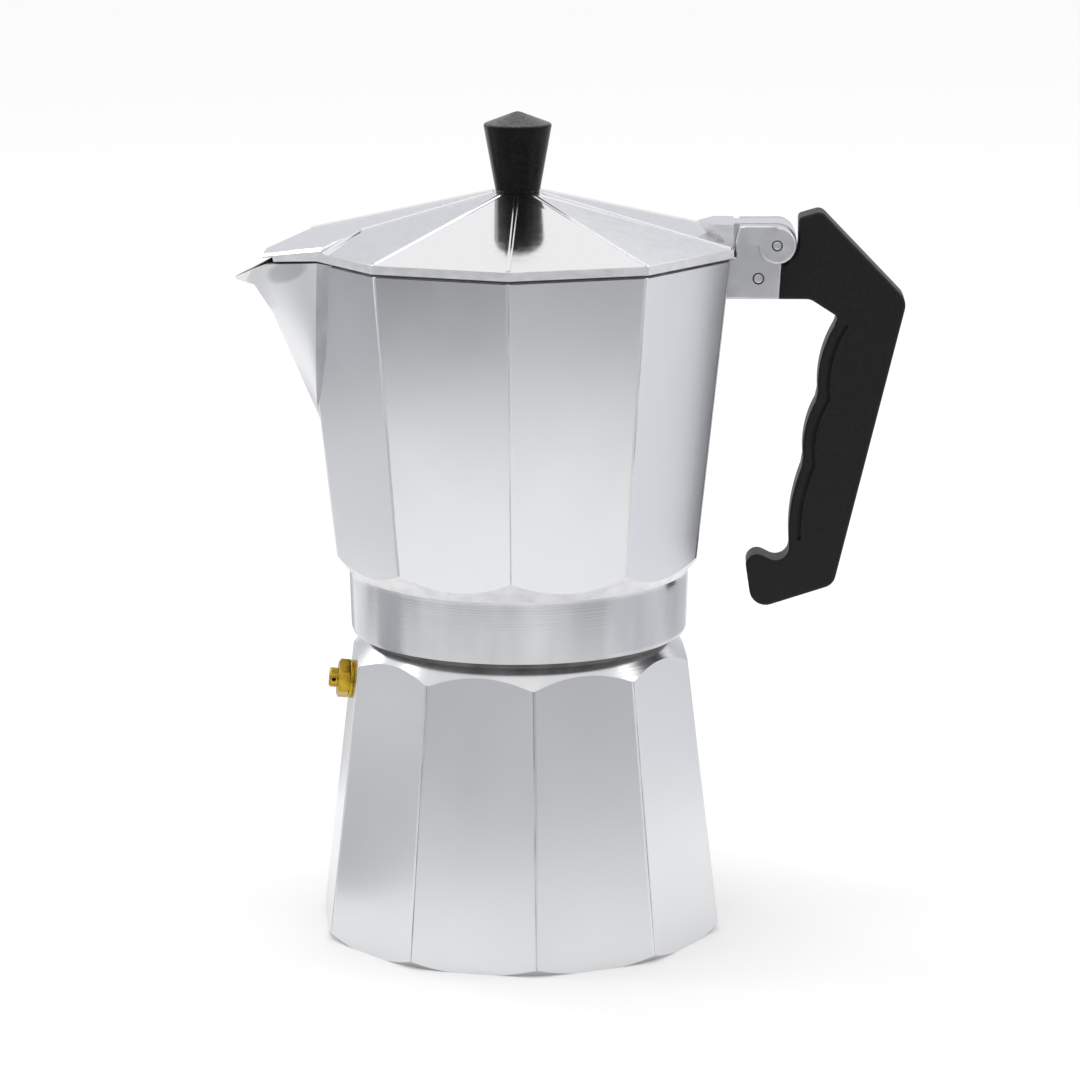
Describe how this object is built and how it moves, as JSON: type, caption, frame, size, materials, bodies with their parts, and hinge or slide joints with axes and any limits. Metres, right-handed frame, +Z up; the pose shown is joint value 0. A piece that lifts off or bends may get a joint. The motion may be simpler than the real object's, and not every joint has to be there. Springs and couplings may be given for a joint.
{
  "type": "moka pot",
  "caption": "Faceted stovetop coffee maker: boiler with safety valve, screw-on upper pot with V spout, hinged lid with knob, and a hooked side handle with finger swells.",
  "frame": {"origin": "on the pot's axis, in the plane where the boiler stands on the stove", "axes": "+Z up along the pot's axis, +X towards the handle, -X towards the spout, Y along the hinge pin"},
  "size_m": [0.1827, 0.1234, 0.2274],
  "materials": {
    "cast_aluminium": "satin, turned bright at the collar and shoulder",
    "sheet_aluminium": "pressed",
    "black_plastic": "fine-grained matt",
    "brass": "turned",
    "steel": "drawn",
    "gasket_rubber": "matt"
  },
  "bodies": {
    "base": {"boiler": "cast_aluminium", "valve_body": "brass", "valve_washer": "brass", "valve_cap": "brass", "valve_spring": "steel", "funnel_basket": "sheet_aluminium", "funnel_tube": "sheet_aluminium", "funnel_screen": "sheet_aluminium"},
    "relief_pin": {"valve_pin": "brass"},
    "seal": {"gasket": "gasket_rubber", "filter_plate": "sheet_aluminium"},
    "upper_pot": {"collector": "cast_aluminium", "column": "cast_aluminium", "handle": "black_plastic", "handle_pin": "steel", "hinge_pin": "steel"},
    "lid_group": {"lid": "cast_aluminium", "knob": "black_plastic", "knob_washer": "steel", "knob_screw": "steel"}
  },
  "joints": [
    {"name": "valve_lift", "type": "slide", "parent": "base", "child": "relief_pin", "axis": [-0.9865, -0.1187, 0.113], "range_m": [0, 0.0015], "stiffness_N_per_m": 800, "springref_m": -0.0015, "deforming": ["valve_spring"]},
    {"name": "upper_pot_rise", "type": "slide", "parent": "base", "child": "seal", "axis": [0, 0, 1], "range_m": [0, 0.0076]},
    {"name": "upper_pot_turn", "type": "hinge", "parent": "seal", "child": "upper_pot", "pos_m": [0, 0, 0.09], "axis": [0, 0, 1], "range_deg": [0, 900]},
    {"name": "lid_hinge", "type": "hinge", "parent": "upper_pot", "child": "lid_group", "pos_m": [0.0704, 0, 0.1923], "axis": [0, 1, 0], "range_deg": [0, 90]}
  ],
  "couplings": [
    {"joint": "upper_pot_rise", "follows": "upper_pot_turn", "m_per_rad": 0.00047746}
  ]
}
